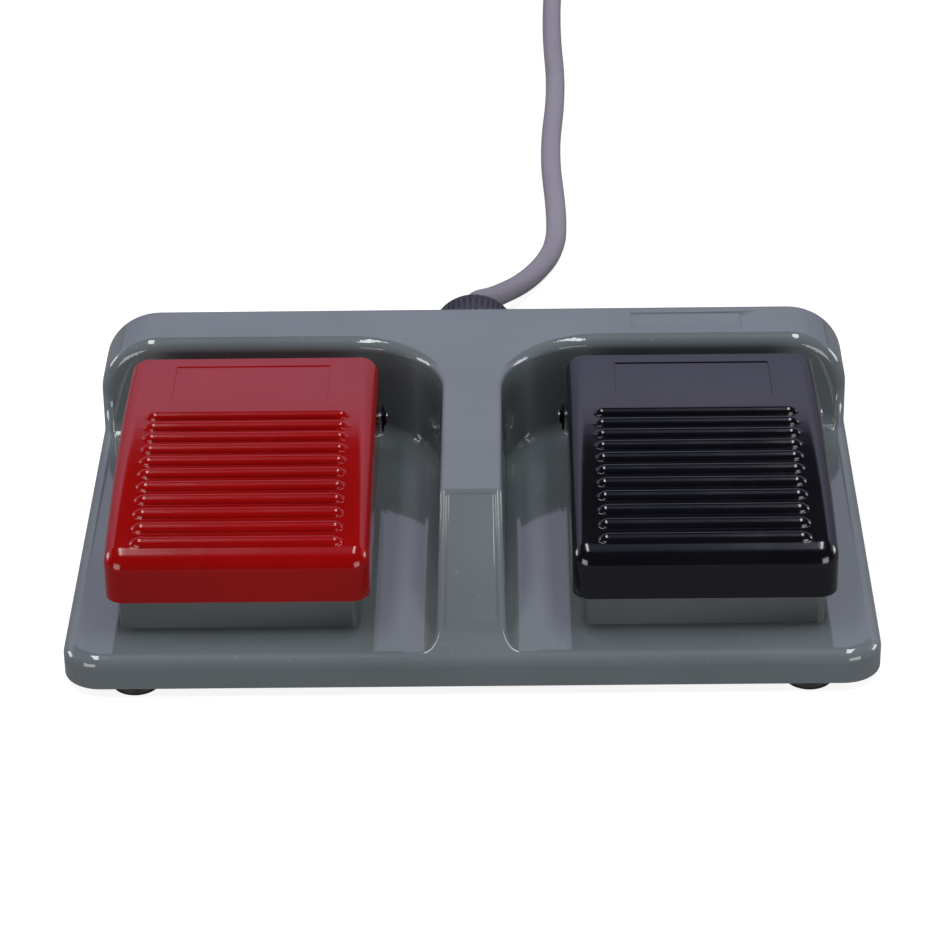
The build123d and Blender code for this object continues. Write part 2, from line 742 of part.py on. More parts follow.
def make_base_screws(x):
    """Pan-head screws from inside the housing up into a switch base."""
    screws = []
    for px, py in base_screw_places(x):
        head = post(pan_head_diameter / 2, ceiling_z - pan_head_height, ceiling_z, px, py)
        head = fillet(head.edges().sort_by(Axis.Z)[0], 0.7)
        screws.append(head + post(screw_diameter / 2, ceiling_z, ceiling_z + base_screw_length, px, py))
    return screws


def lead_route(x, i):
    """Points of one wire from a switch terminal, along the tray and up to the cable."""
    side = 1 if x > 0 else -1
    lead_z = (plate_top_z + ceiling_z) / 2
    blade_x = abs(x) - (terminal_thickness + lead_diameter) / 2
    run_x = blade_x - i * lead_spacing
    cross_y = hood_front_y + 2 * shell_wall + (1 - i) * lead_spacing
    riser_x = lead_riser + (1 - i) * lead_spacing
    end_z = gland_z + core_ring - i * 2 * core_ring
    end_y = back_y - shell_wall - gland_tail - inner_tail
    blade_y = case_y + (1 - 2 * i) * terminal_pitch
    route = [(blade_x, blade_y - 1.5, lead_z)]
    if i == 1:
        route += [(blade_x, blade_y + 2.5, lead_z), (run_x, blade_y + 7, lead_z)]
    route += [(run_x, cross_y, lead_z), (riser_x, cross_y, lead_z), (riser_x, cross_y, end_z),
              (core_ring, end_y - 2 * lead_bend, end_z), (core_ring, end_y, end_z)]
    return [(side * px, py, pz) for px, py, pz in route]


def make_switch_leads(x):
    """Two insulated wires from a microswitch to the cable's inner end."""
    leads = []
    for i in (0, 1):
        path = FilletPolyline(*lead_route(x, i), radius=lead_bend)
        start = Plane(origin=path @ 0, z_dir=path % 0)
        leads.append(sweep(start * Circle(lead_diameter / 2), path=path))
    return leads


def turned_about_cable(outline):
    """Ring turned about the gland's axis from a half section given as radius and Y."""
    face = make_face(Polyline(*outline, close=True).edges())
    ring = revolve(face, Axis.Y)
    return Pos(0, 0, gland_z) * ring


def hex_prism(flats, y_from, y_to):
    """Hexagon nut blank about the gland's axis."""
    face = RegularPolygon(flats / 2, 6, major_radius=False)
    return extrude(at_y(y_to) * Pos(0, gland_z) * face, amount=y_to - y_from)


def make_gland_body():
    """Threaded gland body with its hexagon flange outside the hood's back wall."""
    tail_y = back_y - shell_wall - gland_tail
    flange_y = back_y + gland_flange
    neck_y = flange_y + gland_neck
    body = hex_prism(gland_flats, back_y, flange_y)
    body += bar_along_y(gland_thread / 2, tail_y, neck_y, 0, gland_z)
    body -= bar_along_y(gland_bore / 2, tail_y - 1, neck_y + 1, 0, gland_z)
    seat = seal_diameter / 2 + cable_grip_play
    body -= bar_along_y(seat, neck_y - seal_length / 2, neck_y + 1, 0, gland_z)
    return body


def make_gland_locknut():
    """Hexagon locknut inside the hood."""
    outer = back_y - shell_wall
    nut = hex_prism(locknut_flats, outer - locknut_thickness, outer)
    return nut - bar_along_y(gland_thread / 2 + nut_thread_play, 0, back_y, 0, gland_z)


def make_gland_seal():
    """Rubber bush squeezed on the cable."""
    low = back_y + gland_flange + gland_neck - seal_length / 2
    bore = cable_radius + cable_grip_play
    return turned_about_cable([(bore, low), (seal_diameter / 2, low), (seal_diameter / 2, low + seal_length - 1.5),
                               (seal_diameter / 2 - 1.5, low + seal_length), (bore, low + seal_length)])


def make_gland_nut():
    """Domed clamping nut."""
    low = back_y + gland_flange + nut_gap
    shoulder = low + nut_body_length
    inner = gland_thread / 2 + nut_thread_play
    seat_y = back_y + gland_flange + gland_neck + 0.2
    seal_top = back_y + gland_flange + gland_neck + seal_length / 2
    mouth = cable_radius + 0.4
    outer = nut_diameter / 2
    rim = mouth + 1.8
    dome_mid = ((outer + rim) / 2 + 1.2, shoulder + nut_dome_length * 0.62)
    profile = Polyline((rim, gland_mouth_y), (mouth, gland_mouth_y), (mouth, seal_top + 0.6),
                       (seal_diameter / 2 + 0.2, seal_top - 0.9), (seal_diameter / 2 + 0.2, seat_y),
                       (inner, seat_y), (inner, low), (outer - 0.6, low), (outer, low + 0.6), (outer, shoulder))
    dome = ThreePointArc((outer, shoulder), dome_mid, (rim, gland_mouth_y))
    ring = revolve(make_face([*profile.edges(), dome]), Axis.Y)
    return Pos(0, 0, gland_z) * ring


def make_cable_inner_end():
    """The stretch of cable that the gland holds."""
    return bar_along_y(cable_radius, back_y - shell_wall - gland_tail - inner_tail, gland_mouth_y, 0, gland_z)


def cable_route():
    """Points of the free cable from the gland to the coil."""
    start_y = gland_mouth_y
    coil_x = coil_centre[0] + coil_outer_radius
    return [(0, start_y, gland_z), (0, start_y + 8, gland_z), (0.2, 103.6, 22.2), (1.3, 112.8, 18.4),
            (5.9, 129.5, 10.6), (16.3, 154.5, cable_radius), (24.8, 175.1, cable_radius),
            (25.6, 200.9, cable_radius), (23.5, 246, cable_radius), (27, 296, cable_radius),
            (25.5, 346, cable_radius), (coil_x, 392, coil_low_z),
            (coil_x, coil_centre[1] - cable_diameter, coil_low_z)]


def corner_radii(points):
    """Radius at each inner point: 0.45 of the shorter run over the tangent of half the turn."""
    radii = []
    for before, point, after in zip(points, points[1:], points[2:]):
        run_in = Vector(point) - Vector(before)
        run_out = Vector(after) - Vector(point)
        shorter = min(run_in.length, run_out.length)
        radii.append(0.45 * shorter / tan(radians(run_in.get_angle(run_out)) / 2))
    return radii


def make_cable():
    """Free stretch of cable, straight runs joined by tangent arcs."""
    points = cable_route()
    radii = corner_radii(points)
    print("cable bend radii, mm:", [round(r) for r in radii])
    path = FilletPolyline(*points, radius=radii)
    tube = sweep(Plane(origin=path @ 0, z_dir=path % 0) * Circle(cable_radius), path=path)
    section = pi * cable_radius ** 2
    print("cable length, mm:", round(path.length, 1), "volume over section:", round(tube.volume / section, 1))
    return tube


def coil_point(turn):
    """Centre of the tube after so many turns: in on the lower layer, out on the upper one."""
    last = coil_turns_per_layer
    climb = min(max((turn - (last - 0.25)) / 0.5, 0), 1)
    inward = turn if turn < last else 2 * last - turn
    radius = coil_outer_radius - coil_spacing * inward
    if abs(turn - last) < 0.25:
        radius += coil_spacing * (0.25 - abs(turn - last)) ** 2 * 2
    angle = 2 * pi * turn
    lift = coil_spacing * climb * climb * (3 - 2 * climb)
    return Vector(coil_centre[0] + radius * cos(angle), coil_centre[1] + radius * sin(angle), coil_low_z + lift)


def coil_path():
    """Biarcs through a point at each quarter turn, with a straight run at both ends."""
    step = 0.25
    count = round(2 * coil_turns_per_layer / step)
    points = [coil_point(i * step) for i in range(count + 1)]
    around = 0.002
    tangents = [(coil_point(i * step + around) - coil_point(i * step - around)).normalized()
                for i in range(count + 1)]
    tangents[0] = Vector(0, 1, 0)
    tangents[-1] = Vector(tangents[-1].X, tangents[-1].Y, 0).normalized()
    edges = [Line(points[0] - tangents[0] * cable_diameter, points[0])]
    for p, q, t, u in zip(points, points[1:], tangents, tangents[1:]):
        v = q - p
        b = 2 * (1 - t.dot(u))
        s = v.dot(t + u)
        d = (-s + sqrt(s * s + b * v.dot(v))) / b
        middle = (p + q + (t - u) * d) / 2
        first = TangentArc(p, middle, tangent=t)
        edges += [first, TangentArc(middle, q, tangent=first % 1)]
    edges.append(Line(points[-1], points[-1] + tangents[-1] * cable_diameter))
    return Wire([e for part in edges for e in part.edges()])


def coil_gap(path):
    """Least gap between two turns of the coil, on sampled points."""
    count = 400
    samples = [path @ (i / count) for i in range(count + 1)]
    step = path.length / count
    skip = int(2 * pi * (coil_outer_radius - coil_turns_per_layer * coil_spacing) * 0.5 / step)
    near = min((samples[i] - samples[j]).length
               for i in range(len(samples)) for j in range(i + skip, len(samples)))
    return near - cable_diameter


def make_cable_coil(path):
    """The put-away cable, one unbroken tube wound in two layers."""
    print("coil length, mm:", round(path.length, 1), "least gap, mm:", round(coil_gap(path), 2))
    return sweep(Plane(origin=path @ 0, z_dir=path % 0) * Circle(cable_radius), path=path)


def coil_end_plane(path):
    """Plane on the coil's outer end, facing on along the cable."""
    return Plane(origin=path @ 1, z_dir=path % 1, x_dir=(0, 0, 1))


def make_cable_tie():
    """Flat tie round all the turns on the side next to the cable, with its head on top."""
    inner = coil_outer_radius - (coil_turns_per_layer - 0.25) * coil_spacing - cable_radius - tie_gap
    outer = coil_outer_radius - 0.25 * coil_spacing + cable_radius + tie_gap
    low = coil_low_z - cable_radius - tie_gap
    high = coil_low_z + coil_spacing + cable_radius + tie_gap
    middle = (-(inner + outer) / 2, (low + high) / 2)
    hole = RectangleRounded(outer - inner, high - low, cable_radius)
    band = RectangleRounded(outer - inner + 2 * tie_thickness, high - low + 2 * tie_thickness,
                            cable_radius + tie_thickness)
    ring = extrude(Plane.YZ * Pos(*middle) * (band - hole), amount=tie_width / 2, both=True)
    head_low = high + tie_thickness / 2
    head = block(-tie_head / 2, tie_head / 2, middle[0] - tie_head / 2, middle[0] + tie_head / 2,
                 head_low, head_low + 0.8 * tie_head)
    tail = block(-tie_width / 2, tie_width / 2, middle[0], middle[0] + 3 * tie_head,
                 head_low + 0.25 * tie_head, head_low + 0.25 * tie_head + tie_thickness)
    return Pos(*coil_centre, 0) * (ring + head + tail)


def make_cable_cores(path):
    """Insulated cores that stand out of the cable's cut end."""
    plane = coil_end_plane(path)
    ring = (cable_diameter - core_diameter) / 2 * 0.6
    cores = []
    for i in range(core_count):
        angle = 2 * pi * (i + 0.5) / core_count
        place = Pos(ring * cos(angle), ring * sin(angle), core_length / 2)
        cores.append(plane * place * Cylinder(core_diameter / 2, core_length))
    return cores


def make_core_tips(path):
    """Tinned wire tips of the cores."""
    plane = coil_end_plane(path)
    ring = (cable_diameter - core_diameter) / 2 * 0.6
    tips = []
    for i in range(core_count):
        angle = 2 * pi * (i + 0.5) / core_count
        place = Pos(ring * cos(angle), ring * sin(angle), core_length + tip_length / 2)
        tips.append(plane * place * Cylinder(tip_diameter / 2, tip_length))
    return tips


def write_node(name, shape):
    """Write one named piece, or a group of like pieces, as a STEP file."""
    if isinstance(shape, list):
        shape = Compound(children=shape)
    shape.label = name
    export_step(shape, f"parts/{name}.step")


def write_side(side, x):
    """Pieces of one pedal and of the switch under it."""
    write_node(f"{side}_pedal", make_pedal(x))
    write_node(f"{side}_switch_base", make_switch_base(x))
    write_node(f"{side}_base_screws", make_base_screws(x))
    write_node(f"{side}_pivot_pin", make_pivot_pin(x))
    write_node(f"{side}_pivot_clips", make_pivot_clips(x))
    write_node(f"{side}_return_spring", make_return_spring(x))
    write_node(f"{side}_microswitch_case", make_microswitch_case(x))
    write_node(f"{side}_microswitch_plunger", make_microswitch_plunger(x))
    write_node(f"{side}_microswitch_terminals", make_microswitch_terminals(x))
    write_node(f"{side}_microswitch_screws", make_microswitch_screws(x))
    write_node(f"{side}_switch_leads", make_switch_leads(x))


def write_cable():
    """Gland, cable and the coil that it is put away in."""
    write_node("gland_body", make_gland_body())
    write_node("gland_locknut", make_gland_locknut())
    write_node("gland_seal", make_gland_seal())
    write_node("gland_nut", make_gland_nut())
    write_node("cable_inner_end", make_cable_inner_end())
    write_node("cable", make_cable())
    path = coil_path()
    write_node("cable_coil", make_cable_coil(path))
    write_node("cable_tie", make_cable_tie())
    write_node("cable_cores", make_cable_cores(path))
    write_node("core_tips", make_core_tips(path))


os.makedirs("parts", exist_ok=True)
write_node("housing", make_housing())
write_node("bottom_plate", make_bottom_plate())
write_node("plate_screws", make_plate_screws())
for place, (foot_x, foot_y) in foot_places().items():
    write_node(f"foot_{place}", make_foot(foot_x, foot_y))
write_side("left", -pedal_pitch / 2)
write_side("right", pedal_pitch / 2)
write_cable()
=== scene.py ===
"""Twin foot pedal switch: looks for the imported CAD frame. Metres, +Z up, toe edge towards -Y."""
from math import cos, pi, radians, sin, sqrt

import bmesh
import bpy
import numpy as np
from mathutils import Matrix, Vector


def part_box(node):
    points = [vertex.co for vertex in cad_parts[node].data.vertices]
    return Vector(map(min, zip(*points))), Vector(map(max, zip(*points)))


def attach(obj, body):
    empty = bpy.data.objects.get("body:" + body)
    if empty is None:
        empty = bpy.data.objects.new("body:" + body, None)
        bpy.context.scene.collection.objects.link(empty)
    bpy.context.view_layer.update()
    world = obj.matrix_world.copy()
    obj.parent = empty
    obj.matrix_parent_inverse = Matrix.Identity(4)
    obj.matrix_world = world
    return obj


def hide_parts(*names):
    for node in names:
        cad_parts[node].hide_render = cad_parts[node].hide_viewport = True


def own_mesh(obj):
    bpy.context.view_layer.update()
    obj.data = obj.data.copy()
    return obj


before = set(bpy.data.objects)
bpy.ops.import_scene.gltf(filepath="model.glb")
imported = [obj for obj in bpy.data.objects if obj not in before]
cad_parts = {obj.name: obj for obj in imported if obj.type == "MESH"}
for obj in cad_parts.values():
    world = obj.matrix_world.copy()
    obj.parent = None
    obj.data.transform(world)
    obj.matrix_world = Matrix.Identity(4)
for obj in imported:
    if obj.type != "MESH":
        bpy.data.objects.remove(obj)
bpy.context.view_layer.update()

MM = 0.001
ROOT = "switch_housing"
SIDES = ("left", "right")

# A Mix node's colour sockets, by number, since its other kinds share their names
MIX_FIRST = 6
MIX_SECOND = 7
MIX_RESULT = 2

# Camera, from the fit of the object's edges to the photograph
camera_place = Vector((11.78, -833.95, 514.0)) * MM
camera_pitch = radians(30.41)
camera_turn = radians(0.76)
camera_roll = radians(-0.92)
focal_length = 136.3
sensor_width = 36.0

# Lamps: two long strips overhead, a low box at each side and one at each front side
strip_height = 1.2
strip_inner_x = 0.25
strip_outer_x = 0.44
strip_front_y = -0.42
strip_back_y = 0.46
strip_power = 6.5
side_box_place = Vector((0.94, 0.23, 0.235))
side_box_size = (0.35, 0.28)
side_box_power = 2.3
front_box_place = Vector((0.57, -0.8, 0.2))
front_box_size = (0.5, 0.38)
front_box_power = 3.1

# Room: its tone by height, which is the sine of the elevation, behind the object and ahead of it, from 0 to 1
room_strength = 1.3
room_dark = (0.025, 0.025, 0.03)
room_overhead = (0.22, 0.26, 0.38)
backdrop = (0.58, 0.56, 0.77)
tones_behind = {0.0: (0.2, 0.2, 0.29), 0.28: (0.31, 0.31, 0.44), 0.5: backdrop, 0.55: backdrop,
                0.6: room_dark, 0.88: room_dark, 1.0: room_overhead}
tones_ahead = {0.0: room_dark, 0.88: room_dark, 1.0: room_overhead}
backdrop_blend = 0.2

# Table: a paper that the object's gloss sees as grey and the camera as white with a shadow
table_half = 6.0
table_dark = (0.17, 0.17, 0.175, 1)
table_light = (0.18, 0.18, 0.185, 1)
table_shade = (0.32, 0.32, 0.32, 1)
table_glow = 0.86
white = (1, 1, 1, 1)

# Pedal cover in millimetres, repeated from the part's source. An inset is a distance from the toe
pedal_half_width = 34.0
pedal_half_length = 49.0
toe_z = 34.5
heel_z = 40.6
skirt_z = 21.4
pedal_crown = 4.2
pedal_corner = 5.0
pedal_edge_round = 4.5
pedal_skin = 2.4
rib_half_length = 27.2
rib_point = 3.0
rib_radius = 1.8
rib_rise = 1.5
rib_insets = 5.7 + 5.42 * np.arange(11)
recess_half_width = 21.0
recess_insets = (69.2, 89.2)
recess_sink = 0.25
pin_inset = 89.0
pin_z = 24.6
pin_hole_radius = 2.05
post_top_depth = 1.0
switch_post_inset = 70.67
switch_post_radius = 3.0
switch_post_foot_z = 31.5
spring_inset = 36.0
spring_seat_radius = 6.5
spring_seat_thickness = 1.6
spring_stud_radius = 3.7
spring_stud_height = 4.0

# Made here alone: the width of the ribs' soft foot, how steeply they fall past it, half the width of the
# recess's edge, and lines round the skirt as shares of its height
rib_foot = 0.25
rib_fall = 2
recess_edge = 0.08
skirt_parts = (0.04, 0.5, 1)

# Gland nut in millimetres, repeated from the part's source: (radius, y) along its grip, three points of its
# round end, and (radius, y) back along its bore
nut_radius = 11.8
nut_grip = ((11.2, 74.55), (nut_radius, 75.15), (nut_radius, 75.7), (nut_radius, 76.1), (nut_radius, 82.7),
            (nut_radius, 83.1))
nut_dome = ((nut_radius, 83.55), (9.825, 86.4), (5.45, 88.15))
nut_bore = ((3.65, 88.15), (3.65, 86.65), (6.0, 85.15), (6.0, 82.25), (8.1, 82.25), (8.1, 74.55))

# Flutes of the nut's grip in millimetres
flute_count = 44
flute_depth = 0.45
flute_start_y = 75.5
flute_end_y = 82.9
points_per_flute = 8

# Cable, repeated from the part's source: its fall from the gland, then its way along the floor to the coil
cable_diameter = 6.5 * MM
gland_mouth_y = 88.15 * MM
gland_straight = 8 * MM
gland_z = 23.8 * MM
cable_fall = [(0.2, 103.6, 22.2), (1.3, 112.8, 18.4), (5.9, 129.5, 10.6)]
cable_way = [(16.3, 154.5), (24.8, 175.1), (25.6, 200.9), (23.5, 246), (27, 296), (25.5, 346)]
coil_low_z = 4.8 * MM
coil_centre = (-17.5 * MM, 440 * MM)
coil_approach_y = 392 * MM
coil_outer_radius = 44.5 * MM
coil_spacing = 7.2 * MM
coil_turns_per_layer = 2.5
coil_points_per_turn = 16
coil_climb = 0.25


def linear(hex_colour):
    """Linear colour of an sRGB hex string."""
    values = [int(hex_colour[i:i + 2], 16) / 255 for i in (0, 2, 4)]
    return tuple(v / 12.92 if v <= 0.04045 else ((v + 0.055) / 1.055) ** 2.4 for v in values) + (1.0,)


def scaled(colour, factor):
    """The same colour, lighter or darker."""
    return tuple(min(1.0, c * factor) for c in colour[:3]) + (1.0,)


def empty_tree(owner):
    """The node tree of a new material or world, with nothing in it."""
    owner.use_nodes = True
    owner.node_tree.nodes.clear()
    return owner.node_tree


def add_node(tree, kind, inputs=None, **settings):
    """One shader node. An input, by its name or number, is a value or the socket that feeds it."""
    node = tree.nodes.new(kind)
    for name, value in settings.items():
        setattr(node, name, value)
    for key, value in (inputs or {}).items():
        if isinstance(value, bpy.types.NodeSocket):
            tree.links.new(value, node.inputs[key])
        else:
            node.inputs[key].default_value = value
    return node


def pattern(tree, size, detail, low=0, high=1, low_in=0.35, high_in=0.65, roughness=0.5):
    """Noise of about this grain size in metres, in object coordinates. Its middle runs from low to high."""
    place = add_node(tree, "ShaderNodeTexCoord").outputs["Object"]
    noise = add_node(tree, "ShaderNodeTexNoise", {"Vector": place, "Scale": 1 / size, "Detail": detail,
                                                  "Roughness": roughness})
    stretched = add_node(tree, "ShaderNodeMapRange", {"Value": noise.outputs[0], "From Min": low_in,
                                                      "From Max": high_in, "To Min": low, "To Max": high})
    return stretched.outputs[0]


def moulded(name, hex_colour, gloss, grain=0.9 * MM, depth=0.004 * MM, ior=1.53, speck=0.0):
    """Moulded plastic: faint clouds 35 mm wide, gloss that varies over 12 mm, a rippled skin and dust."""
    material = bpy.data.materials.new(name)
    tree = empty_tree(material)
    colour = linear(hex_colour)
    cloud = pattern(tree, 35 * MM, 2)
    shade = add_node(tree, "ShaderNodeMix", {"Factor": cloud, MIX_FIRST: scaled(colour, 0.95),
                                             MIX_SECOND: scaled(colour, 1.05)}, data_type="RGBA")
    if speck:
        dots = pattern(tree, 1.1 * MM, 1, low_in=0.735, high_in=0.76, roughness=0.3)
        dust = tuple(c + speck for c in colour[:3]) + (1.0,)
        shade = add_node(tree, "ShaderNodeMix", {"Factor": dots, MIX_FIRST: shade.outputs[MIX_RESULT],
                                                 MIX_SECOND: dust}, data_type="RGBA")
    rough = pattern(tree, 12 * MM, 4, gloss * 0.85, gloss * 1.2)
    ripple = pattern(tree, grain, 2, low_in=0, high_in=1)
    bump = add_node(tree, "ShaderNodeBump", {"Height": ripple, "Strength": 0.5, "Distance": depth})
    skin = add_node(tree, "ShaderNodeBsdfPrincipled",
                    {"Base Color": shade.outputs[MIX_RESULT], "Roughness": rough, "IOR": ior,
                     "Normal": bump.outputs["Normal"]})
    add_node(tree, "ShaderNodeOutputMaterial", {"Surface": skin.outputs["BSDF"]})
    return material


def worked_metal(name, hex_colour, gloss):
    """Metal: its tone varies over 3 mm and its gloss over less, with fine marks in its skin."""
    material = bpy.data.materials.new(name)
    tree = empty_tree(material)
    colour = linear(hex_colour)
    tone = pattern(tree, 3 * MM, 4)
    shade = add_node(tree, "ShaderNodeMix", {"Factor": tone, MIX_FIRST: scaled(colour, 0.82),
                                             MIX_SECOND: colour}, data_type="RGBA")
    rough = pattern(tree, 0.6 * MM, 3, gloss * 0.8, gloss * 1.4)
    marks = pattern(tree, 0.3 * MM, 3, low_in=0, high_in=1)
    bump = add_node(tree, "ShaderNodeBump", {"Height": marks, "Strength": 0.3, "Distance": 0.01 * MM})
    skin = add_node(tree, "ShaderNodeBsdfPrincipled",
                    {"Base Color": shade.outputs[MIX_RESULT], "Roughness": rough, "Metallic": 1.0,
                     "Normal": bump.outputs["Normal"]})
    add_node(tree, "ShaderNodeOutputMaterial", {"Surface": skin.outputs["BSDF"]})
    return material


# Each comment says what the real finish gives the eye. A polished mould's skin ripples too finely for the
# picture to show, so it is drawn at 0.9 mm, and the grain of the duller plastics at 0.3 to 0.5 mm
MATERIALS = {
    # Grey ABS from a polished mould: sharp reflections of the lamps, and a few specks of dust on its flats
    "housing": moulded("polished_grey_abs", "646b6e", 0.055, speck=0.03),
    # Red ABS, coloured through: deep red sides, and a pinkish sheen on the crown
    "red": moulded("moulded_red_abs", "8a0605", 0.13, ior=1.41),
    # Black ABS: hardly a colour of its own, so it shows the backdrop's violet sheen and the lamps' glints
    "black": moulded("moulded_black_abs", "09090f", 0.13),
    # Grey ABS with a satin skin: a dull band under the pedals' skirts
    "base": moulded("moulded_satin_grey_abs", "56595a", 0.2),
    # Grey ABS from a spark-eroded mould: matt and fine-grained
    "plate": moulded("textured_grey_abs", "4a4e52", 0.42, grain=0.4 * MM, depth=0.01 * MM),
    # Black nylon, as moulded: soft dark highlights
    "nylon": moulded("moulded_black_nylon", "17171b", 0.3, grain=0.4 * MM, depth=0.006 * MM),
    # The nut's nylon, a little paler, so that its flutes show as bands
    "nut": moulded("moulded_dark_grey_nylon", "26262d", 0.28, grain=0.4 * MM, depth=0.006 * MM),
    # Black rubber from a press mould: no gloss, a coarse skin
    "rubber": moulded("moulded_black_rubber", "121213", 0.6, grain=0.3 * MM, depth=0.02 * MM, ior=1.5),
    # Warm grey PVC, extruded round the cores: a long soft highlight with a slight orange peel
    "cable": moulded("extruded_grey_pvc", "87818b", 0.32, grain=0.5 * MM, depth=0.01 * MM),
    # Brown-black phenolic, pressed: dense and half dull
    "phenolic": moulded("pressed_black_phenolic", "161412", 0.35, grain=0.3 * MM, depth=0.01 * MM),
    # Dark red acetal: a waxy, even skin
    "acetal": moulded("moulded_red_acetal", "7a1410", 0.3),
    # Dark grey PVC on the thin wires: half dull
    "lead": moulded("extruded_dark_pvc", "3a3a3e", 0.4),
    # Ground steel of the hinge pins: bright, with fine marks
    "steel": worked_metal("ground_steel", "c4c4c6", 0.24),
    # Black-oxide steel of the pin clips: nearly black, with a thin metallic glint
    "oxide": worked_metal("black_oxide_steel", "17171a", 0.3),
    # Zinc-plated steel of the screws: pale and slightly blue
    "zinc": worked_metal("zinc_plated_steel", "b9bcc2", 0.3),
    # Drawn steel wire of the springs: mid grey, clean
    "spring": worked_metal("drawn_spring_steel", "9a9a9c", 0.28),
    # Stamped brass of the switches' blades: pale yellow
    "brass": worked_metal("stamped_brass", "c8ad6a", 0.3),
    # Tinned copper of the bare wire ends: silvery and even
    "tin": worked_metal("tinned_copper", "cdccc8", 0.25),
}


def add_object(name, data):
    """New object in the scene, at the origin."""
    added = bpy.data.objects.new(name, data)
    bpy.context.scene.collection.objects.link(added)
    return added


def make_mesh(name, vertices, faces):
    """Mesh from vertices in millimetres."""
    mesh = bpy.data.meshes.new(name)
    corners = [tuple(int(i) for i in face) for face in faces]
    mesh.from_pydata((np.asarray(vertices) * MM).tolist(), [], corners)
    mesh.validate()
    return mesh


def finished_piece(name, data, material, body, node, crease):
    """Piece that stands for a CAD node: smooth up to the crease angle, in one material, on its body."""
    data.shade_smooth()
    data.set_sharp_from_angle(angle=crease)
    data.materials.clear()
    data.materials.append(MATERIALS[material])
    piece = add_object(name, data)
    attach(piece, body)
    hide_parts(node)
    return piece


def smoothed(node, material, crease=radians(32)):
    """The CAD node's form as one welded skin, whose rounds shade smoothly between its flats."""
    mesh = bmesh.new()
    mesh.from_mesh(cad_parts[node].data)
    bmesh.ops.remove_doubles(mesh, verts=mesh.verts, dist=0.002 * MM)
    data = bpy.data.meshes.new(f"{node}_skin")
    mesh.to_mesh(data)
    mesh.free()
    piece = finished_piece(f"{node}_skin", data, material, ROOT, node, crease)
    even = piece.modifiers.new("even_normals", "WEIGHTED_NORMAL")
    even.keep_sharp = True
    even.weight = 100
    return piece


def dress(node, material):
    """A better material on a CAD node that keeps its shape."""
    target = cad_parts[node]
    for slot in target.material_slots:
        slot.material = MATERIALS[material]
    if not target.material_slots:
        target.data.materials.append(MATERIALS[material])


def strip_faces(first, second):
    """Quads between two closed rings of vertices."""
    return np.stack([first, np.roll(first, -1), np.roll(second, -1), second], axis=1)


def grid_faces(rows, columns):
    """Quads of a grid, and its outline as one ring that runs the same way round."""
    index = np.arange(rows * columns).reshape(rows, columns)
    corners = [index[:-1, :-1], index[:-1, 1:], index[1:, 1:], index[1:, :-1]]
    ring = np.concatenate([index[0, :-1], index[:-1, -1], index[-1, :0:-1], index[:0:-1, 0]])
    return np.stack(corners, axis=-1).reshape(-1, 4), ring


def turned(profile, count=48):
    """Solid of revolution round Z from (radius, z) points: x = r cos a, y = r sin a."""
    angle = np.linspace(0, 2 * pi, count, endpoint=False)
    radius, height = np.array(profile, dtype=float).T
    around = radius[:, None]
    level = np.broadcast_to(height[:, None], (len(profile), count))
    vertices = np.stack([around * np.cos(angle), around * np.sin(angle), level], axis=-1).reshape(-1, 3)
    rings = np.arange(len(vertices)).reshape(len(profile), count)
    walls = np.concatenate([strip_faces(low, high) for low, high in zip(rings[:-1], rings[1:])])
    return vertices, [*walls, rings[0][::-1], rings[-1]]


def arc_points(first, middle, last, count=10):
    """Points on the circle through three points: |p - c| = r, from the first to the last."""
    a, b, c = (complex(*point) for point in (first, middle, last))
    ratio = (c - a) / (b - a)
    centre = a - (a - b) * (ratio - abs(ratio) ** 2) / 2j / ratio.imag
    start = np.angle(a - centre)
    turn = np.angle((c - centre) / (a - centre))
    points = centre + abs(a - centre) * np.exp(1j * (start + turn * np.linspace(0, 1, count)))
    return np.column_stack([points.real, points.imag])


def mirrored(places):
    """Places from zero outwards, and the same on the other side of zero."""
    return np.concatenate([-places[:0:-1], places])


def edge_insets():
    """Distances from the outline at even turns of the edge round, from its inner end to the outline."""
    turn = np.linspace(0, pi / 2, 11)
    return np.concatenate([[pedal_corner], pedal_edge_round * (1 - np.sin(turn))])


def cover_lines():
    """The grid's lines across the cover and along it, close together where the form turns sharply."""
    edges = np.array([-recess_edge, recess_edge])
    middle = np.linspace(0, 20.4, 5)
    beside_recess = np.linspace(21.8, 24.0, 3)
    rib_points = np.linspace(24.2, 27.4, 17)
    shoulder = (28.2,)
    across = mirrored(np.concatenate([middle, recess_half_width + edges, beside_recess, rib_points, shoulder,
                                      pedal_half_width - edge_insets()]))
    over_rib = mirrored(np.array([0, 0.4, 0.8, 1.1, 1.35, 1.5, 1.6, 1.68, 1.75, 1.82, 1.9, 2.05, 2.3]))
    ribs = np.add.outer(rib_insets, over_rib).ravel()
    between_ribs = rib_insets[:-1] + np.diff(rib_insets) / 2
    label = np.add.outer(recess_insets, edges).ravel()
    plain = [62.5, 64.8, 67.0, 72.0, 76.0, 80.0, 84.0, 87.0, 91.0]
    heel = 2 * pedal_half_length - edge_insets()
    along = np.sort(np.concatenate([edge_insets(), heel, ribs, between_ribs, label, plain]))
    apart = np.concatenate([[True], np.diff(along) > 0.03])
    return across, along[apart] - pedal_half_length


def crown_height(inset):
    """Height of the top at an inset: z = m + sqrt(r^2 - (y - c)^2), a circle by three points."""
    length = 2 * pedal_half_length
    half = sqrt(length ** 2 + (heel_z - toe_z) ** 2) / 2
    radius = (half ** 2 + pedal_crown ** 2) / (2 * pedal_crown)
    grade = (heel_z - toe_z) / length
    drop = radius - pedal_crown
    centre = length / 2 + drop * sin(grade)
    return (toe_z + heel_z) / 2 - drop * cos(grade) + np.sqrt(radius ** 2 - (inset - centre) ** 2)


